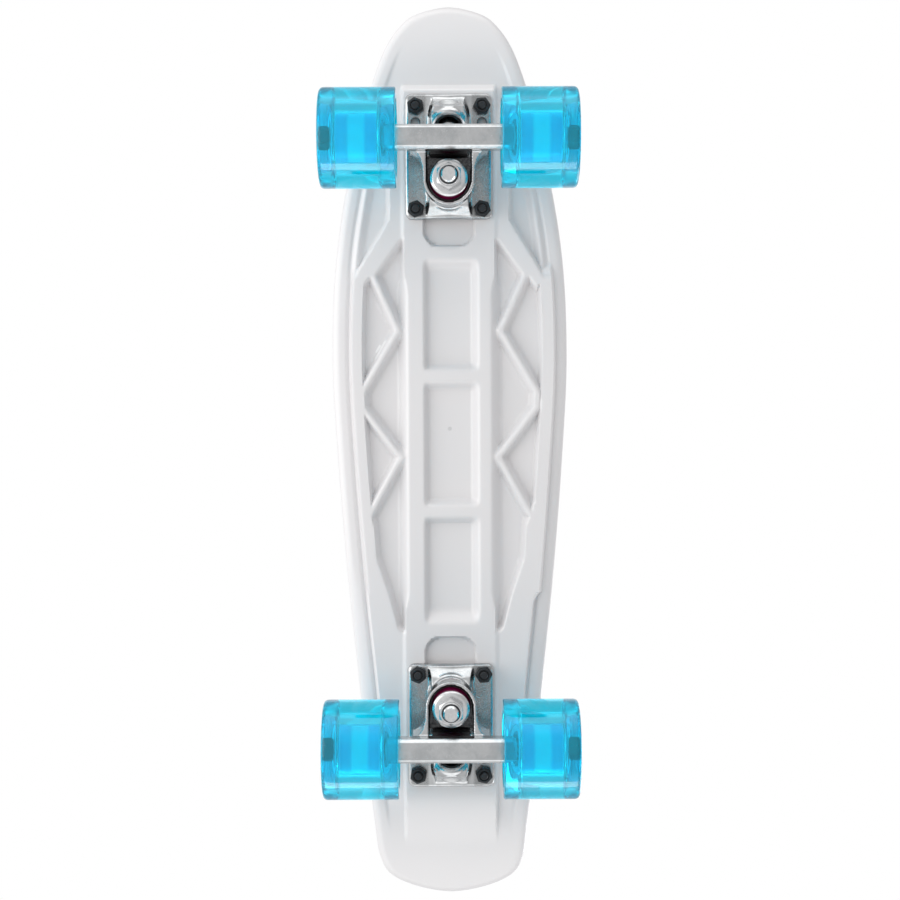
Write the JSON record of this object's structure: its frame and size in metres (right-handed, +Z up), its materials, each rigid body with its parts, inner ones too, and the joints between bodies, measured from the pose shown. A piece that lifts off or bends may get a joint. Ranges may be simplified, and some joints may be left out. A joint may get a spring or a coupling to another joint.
{
  "type": "cruiser skateboard",
  "caption": "Short moulded plastic cruiser board with a ribbed underside, sprung steering trucks and cast wheels on ball bearings.",
  "frame": {"origin": "on the ground under the middle of the board, at the bottom centre of the whole model", "axes": "+Y along the board towards its nose, +X to the right of someone looking along +Y from above, +Z up"},
  "size_m": [0.154, 0.574, 0.1282],
  "materials": {
    "deck": "satin white moulded polypropylene",
    "cast_metal": "tumbled and polished casting",
    "steel": "zinc plated",
    "black_steel": "black oxide",
    "pivot_plastic": "matte black",
    "cushion": "cast maroon urethane",
    "tyre": "clear blue cast urethane",
    "wheel_core": "blue moulded core"
  },
  "bodies": {
    "deck": {"deck": "deck", "front_baseplate": "cast_metal", "front_pivot_cup": "pivot_plastic", "front_kingpin": "steel", "front_kingpin_nut": "steel", "front_cup_washer": "steel", "front_deck_side_cushion": "cushion", "front_road_side_cushion": "cushion", "front_deck_bolt_1": "black_steel", "front_deck_nut_1": "black_steel", "front_deck_bolt_2": "black_steel", "front_deck_nut_2": "black_steel", "front_deck_bolt_3": "black_steel", "front_deck_nut_3": "black_steel", "front_deck_bolt_4": "black_steel", "front_deck_nut_4": "black_steel", "rear_baseplate": "cast_metal", "rear_pivot_cup": "pivot_plastic", "rear_kingpin": "steel", "rear_kingpin_nut": "steel", "rear_cup_washer": "steel", "rear_deck_side_cushion": "cushion", "rear_road_side_cushion": "cushion", "rear_deck_bolt_1": "black_steel", "rear_deck_nut_1": "black_steel", "rear_deck_bolt_2": "black_steel", "rear_deck_nut_2": "black_steel", "rear_deck_bolt_3": "black_steel", "rear_deck_nut_3": "black_steel", "rear_deck_bolt_4": "black_steel", "rear_deck_nut_4": "black_steel"},
    "front_hanger": {"front_hanger": "cast_metal", "front_axle": "steel", "front_right_bearing_sleeve": "steel", "front_right_axle_nut": "black_steel", "front_left_bearing_sleeve": "steel", "front_left_axle_nut": "black_steel"},
    "front_right_wheel": {"front_right_wheel_tyre": "tyre", "front_right_wheel_core": "wheel_core", "front_right_outer_bearing": "steel", "front_right_inner_bearing": "steel"},
    "front_left_wheel": {"front_left_wheel_tyre": "tyre", "front_left_wheel_core": "wheel_core", "front_left_outer_bearing": "steel", "front_left_inner_bearing": "steel"},
    "rear_hanger": {"rear_hanger": "cast_metal", "rear_axle": "steel", "rear_right_bearing_sleeve": "steel", "rear_right_axle_nut": "black_steel", "rear_left_bearing_sleeve": "steel", "rear_left_axle_nut": "black_steel"},
    "rear_right_wheel": {"rear_right_wheel_tyre": "tyre", "rear_right_wheel_core": "wheel_core", "rear_right_outer_bearing": "steel", "rear_right_inner_bearing": "steel"},
    "rear_left_wheel": {"rear_left_wheel_tyre": "tyre", "rear_left_wheel_core": "wheel_core", "rear_left_outer_bearing": "steel", "rear_left_inner_bearing": "steel"}
  },
  "joints": [
    {"name": "front_steer", "type": "hinge", "parent": "deck", "child": "front_hanger", "pos_m": [0, 0.21125, 0.067], "axis": [0, 0.9143, 0.4051], "range_deg": [-10, 10], "stiffness_Nm_per_rad": 9, "deforming": ["front_deck_side_cushion", "front_road_side_cushion"]},
    {"name": "rear_steer", "type": "hinge", "parent": "deck", "child": "rear_hanger", "pos_m": [0, -0.18785, 0.067], "axis": [0, -0.9143, 0.4051], "range_deg": [-10, 10], "stiffness_Nm_per_rad": 9, "deforming": ["rear_deck_side_cushion", "rear_road_side_cushion"]},
    {"name": "front_right_wheel_spin", "type": "hinge", "parent": "front_hanger", "child": "front_right_wheel", "pos_m": [0.0545, 0.19525, 0.03], "axis": [1, 0, 0], "continuous": true},
    {"name": "front_left_wheel_spin", "type": "hinge", "parent": "front_hanger", "child": "front_left_wheel", "pos_m": [-0.0545, 0.19525, 0.03], "axis": [1, 0, 0], "continuous": true},
    {"name": "rear_right_wheel_spin", "type": "hinge", "parent": "rear_hanger", "child": "rear_right_wheel", "pos_m": [0.0545, -0.17185, 0.03], "axis": [1, 0, 0], "continuous": true},
    {"name": "rear_left_wheel_spin", "type": "hinge", "parent": "rear_hanger", "child": "rear_left_wheel", "pos_m": [-0.0545, -0.17185, 0.03], "axis": [1, 0, 0], "continuous": true}
  ]
}
